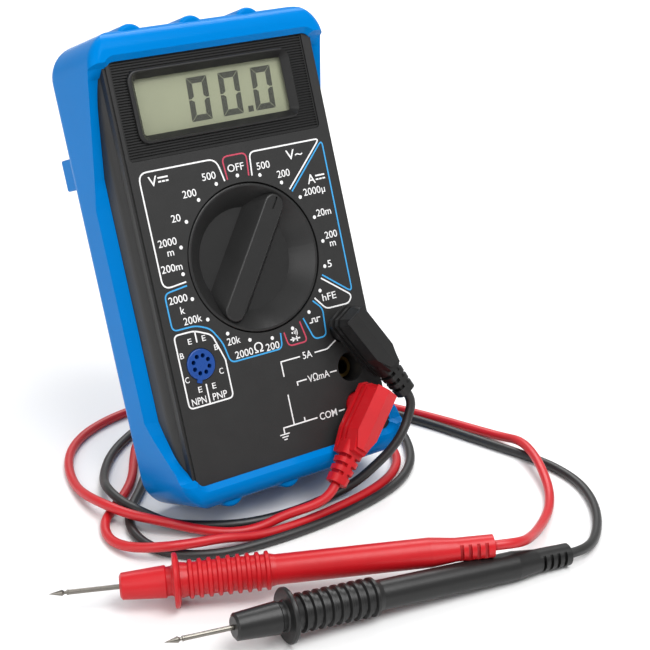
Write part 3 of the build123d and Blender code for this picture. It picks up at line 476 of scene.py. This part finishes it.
def make_printing():
    """All the printing, joined into one piece for each colour."""
    print_ranges()
    print_transistor_box()
    print_labels()
    print_dots()
    print_sockets()
    for colour, shapes in printed.items():
        whole = bmesh.new()
        for shape in shapes:
            mesh = bpy.data.meshes.new("shape")
            shape.to_mesh(mesh)
            shape.free()
            whole.from_mesh(mesh)
            bpy.data.meshes.remove(mesh)
        face_piece(f"{colour}_printing", whole, MATERIALS[f"{colour}_print"])


# ---- the display's figures -------------------------------------------------------------------
DIGIT_W, DIGIT_H, DIGIT_T = 6.2, 11.5, 1.6
DIGIT_GAP, DIGIT_LEAN = 0.1, 0.06     # between segments; sideways for each unit of height
WAIST_OUTER, WAIST_INNER = 0.15, 0.7  # half the gap at a digit's middle, outside and inside
DIGIT_LOW, DIGIT_HIGH = -3.23, -3.12
DIGIT_FOOT = 37.95
DIGIT_LEFTS = (-8.0, 1.7, 11.9)
POINT_LEFT, POINT_SIDE, POINT_LEAN = 9.5, 1.6, 0.1


def zero_segments():
    """The six segments of a nought, without its lean."""
    w, h, t, g = DIGIT_W, DIGIT_H, DIGIT_T, DIGIT_GAP
    segments = [((g, h), (w - g, h), (w - t - g, h - t), (t + g, h - t)),
                ((g, 0), (w - g, 0), (w - t - g, t), (t + g, t))]
    middle = h / 2
    for outer, inner, centre in ((0, t, t / 2), (w, w - t, w - t / 2)):
        for end, into in ((h, 1), (0, -1)):
            tip = middle + WAIST_OUTER * into
            segments.append(((outer, end - g * into), (inner, end - (t + g) * into),
                             (inner, middle + WAIST_INNER * into), (centre, tip), (outer, tip)))
    return segments


def make_display():
    """Three noughts and a decimal point on the display's cell."""
    bm = bmesh.new()
    for left in DIGIT_LEFTS:
        for segment in zero_segments():
            outline = [(left + x + y * DIGIT_LEAN, DIGIT_FOOT + y) for x, y in segment]
            solid_outline(bm, outline, DIGIT_LOW, DIGIT_HIGH)
    x, y, side = POINT_LEFT, DIGIT_FOOT, POINT_SIDE
    point = ((x, y), (x + side, y), (x + side + POINT_LEAN, y + side), (x + POINT_LEAN, y + side))
    solid_outline(bm, point, DIGIT_LOW, DIGIT_HIGH)
    face_piece("display_figures", bm, MATERIALS["figures"])


# ---- cords -----------------------------------------------------------------------------------
CORD_D = 2.6
LAID, OVER = 1.35, 4.4           # heights of a cord's middle on the table, and over another cord
CORD_ENDS = {                    # out of the plug: end and direction; into the probe: end and direction
    "red": ((6.0, -41.53, 10.02), (-0.682, -0.274, -0.678), (19.4, -90.0, 10.7), (0.889, -0.455, 0.049)),
    "black": ((34.25, -34.64, 27.07), (0.5, -0.324, -0.803), (40.9, -94.4, 3.0), (0.986, -0.16, -0.048)),
}
PLUG_LEAVE, PROBE_LEAVE = 3.2, 4.2
CORD_ROUTE = {
    "red": [
        (-1.0, -41.6, 5.6), (-8.5, -38.9, 4.0), (-16.5, -37.3, LAID), (-24.5, -34.2, LAID),
        (-31.5, -28.9, 2.6), (-38.0, -23.6, OVER), (-43.0, -16.2, OVER), (-45.8, -8.0, OVER),
        (-46.5, 1.0, 3.0), (-45.4, 10.0, LAID), (-42.5, 20.0, LAID), (-37.5, 29.0, LAID),
        (-30.0, 36.0, LAID), (-20.5, 40.5, LAID), (-10.0, 42.6, LAID), (1.0, 43.6, LAID),
        (12.0, 43.2, LAID), (22.5, 40.6, LAID), (31.0, 36.0, 3.6), (36.3, 28.6, OVER),
        (38.4, 19.0, OVER), (39.6, 9.5, OVER), (41.0, 0.5, 2.6), (42.1, -8.5, LAID),
        (41.8, -17.5, LAID), (39.2, -25.5, LAID), (34.4, -31.2, LAID), (28.0, -35.2, LAID),
        (20.0, -37.9, LAID), (11.0, -39.6, LAID), (1.0, -40.8, LAID), (-9.0, -41.3, LAID),
        (-19.0, -40.9, 1.8), (-28.0, -39.9, 4.1), (-36.5, -38.3, OVER), (-44.6, -35.2, OVER),
        (-49.8, -28.6, 2.8), (-51.2, -20.5, LAID), (-48.8, -12.6, LAID), (-42.9, -6.6, LAID),
        (-35.8, -1.0, LAID), (-29.8, 5.8, LAID), (-24.8, 14.2, LAID), (-19.0, 23.2, LAID),
        (-9.6, 30.0, LAID), (2.5, 32.0, LAID), (15.0, 31.6, LAID), (27.0, 27.8, LAID),
        (37.5, 20.8, LAID), (47.0, 12.6, LAID), (54.6, 4.0, LAID), (60.0, -6.0, LAID),
        (64.9, -16.6, LAID), (69.0, -26.6, LAID), (71.2, -34.6, 2.0), (71.0, -42.8, OVER),
        (68.6, -51.0, OVER), (65.0, -59.0, 3.4), (60.9, -66.2, 2.0), (55.2, -72.4, 1.6),
        (48.4, -77.8, 2.6), (41.4, -82.8, 4.4), (34.6, -87.6, 7.0), (28.6, -91.2, 9.4),
    ],
    "black": [
        (33.9, -36.6, 19.9), (30.6, -38.1, 16.2), (27.0, -38.1, 12.4), (22.8, -37.2, 8.8),
        (17.6, -36.2, 5.0), (11.0, -34.6, 2.0), (2.0, -34.9, LAID), (-9.0, -34.9, LAID),
        (-19.0, -32.6, LAID), (-27.6, -27.4, LAID), (-34.6, -22.8, 1.9), (-39.6, -16.5, 4.3),
        (-41.4, -9.0, OVER), (-41.2, -1.0, OVER), (-38.4, 6.6, 2.4), (-34.4, 13.6, LAID),
        (-29.0, 20.4, LAID), (-22.0, 26.2, LAID), (-13.0, 31.6, LAID), (-2.0, 35.0, LAID),
        (10.0, 36.2, LAID), (22.0, 34.4, LAID), (31.5, 30.2, LAID), (39.4, 24.6, LAID),
        (46.0, 17.4, 4.4), (49.6, 8.8, OVER), (51.0, 0.4, OVER), (50.6, -8.0, 2.6),
        (48.6, -16.6, LAID), (44.6, -24.8, LAID), (39.0, -32.0, LAID), (30.9, -37.8, LAID),
        (21.0, -41.2, LAID), (10.5, -43.2, LAID), (0.0, -44.3, LAID), (-10.5, -44.5, LAID),
        (-20.5, -43.9, LAID), (-30.0, -42.6, LAID), (-38.4, -38.2, LAID), (-43.6, -30.8, LAID),
        (-44.6, -22.4, LAID), (-42.2, -14.4, LAID), (-37.4, -7.6, LAID), (-31.6, -1.8, LAID),
        (-25.4, 5.8, LAID), (-19.2, 14.8, LAID), (-12.0, 24.2, LAID), (-2.0, 28.0, LAID),
        (10.0, 27.8, LAID), (21.0, 24.6, LAID), (31.4, 19.2, LAID), (41.0, 12.6, LAID),
        (49.4, 4.6, LAID), (55.4, -5.0, LAID), (60.0, -15.6, LAID), (63.6, -27.0, LAID),
        (66.8, -37.0, LAID), (70.2, -46.8, LAID), (72.4, -57.0, LAID), (71.6, -67.6, LAID),
        (67.0, -77.6, LAID), (60.2, -86.0, LAID), (52.2, -92.6, 1.7),
    ],
}


def route_points(colour):
    """The cord's whole route, from the plug's strain relief to the probe's tail."""
    start, leave, end, arrive = (Vector(v) for v in CORD_ENDS[colour])
    inner = [Vector(point) for point in CORD_ROUTE[colour]]
    return [start, start + leave * PLUG_LEAVE, *inner, end + arrive * PROBE_LEAVE, end]


def nurbs_path(name, points):
    """Points along the smooth line that has these control points."""
    curve = bpy.data.curves.new(name, "CURVE")
    curve.dimensions = "3D"
    curve.resolution_u = 10
    spline = curve.splines.new("NURBS")
    spline.points.add(len(points) - 1)
    for control, point in zip(spline.points, points):
        control.co = (*(point * MM), 1)
    spline.order_u = 3
    spline.use_endpoint_u = True
    holder = collection_add(bpy.data.objects.new(name, curve))
    line = bpy.data.meshes.new_from_object(holder)
    path = [vertex.co.copy() for vertex in line.vertices]
    bpy.data.objects.remove(holder)
    bpy.data.curves.remove(curve)
    bpy.data.meshes.remove(line)
    return path


def tube_mesh(path, radius, sides=20):
    """A round tube about a path, in metres, closed at both ends."""
    bm = bmesh.new()
    rings = []
    side = None
    for i, point in enumerate(path):
        along = (path[min(i + 1, len(path) - 1)] - path[max(i - 1, 0)]).normalized()
        if side is None:
            side = along.orthogonal().normalized()
        side = (side - along * side.dot(along)).normalized()
        other = along.cross(side)
        ring = []
        for k in range(sides):
            angle = 2 * math.pi * k / sides
            ring.append(bm.verts.new(point + (side * math.cos(angle) + other * math.sin(angle)) * radius))
        rings.append(ring)
    for first, second in zip(rings, rings[1:]):
        for k in range(sides):
            bm.faces.new((first[k], first[(k + 1) % sides], second[(k + 1) % sides], second[k]))
    bm.faces.new(rings[0])
    bm.faces.new(rings[-1])
    return bm


def make_cord(colour):
    """A lead's cord: a fixed tube along its route from the plug to the probe, in place of the CAD cord."""
    path = nurbs_path(f"{colour}_line", route_points(colour))
    bm = tube_mesh(path, CORD_D / 2 * MM)
    bmesh.ops.recalc_face_normals(bm, faces=bm.faces)
    mesh = bpy.data.meshes.new(f"{colour}_lead")
    bm.to_mesh(mesh)
    bm.free()
    mesh.materials.append(MATERIALS[f"{colour}_cord"])
    for polygon in mesh.polygons:
        polygon.use_smooth = True
    lead = collection_add(bpy.data.objects.new(f"{colour}_lead", mesh))
    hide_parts(f"{colour}_cord")
    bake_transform(lead)
    return lead


# ---- making ----------------------------------------------------------------------------------
add_camera()
add_studio()
for cord_colour in ("red", "black"):
    make_cord(cord_colour)
make_printing()
make_display()
paint_cad_nodes()
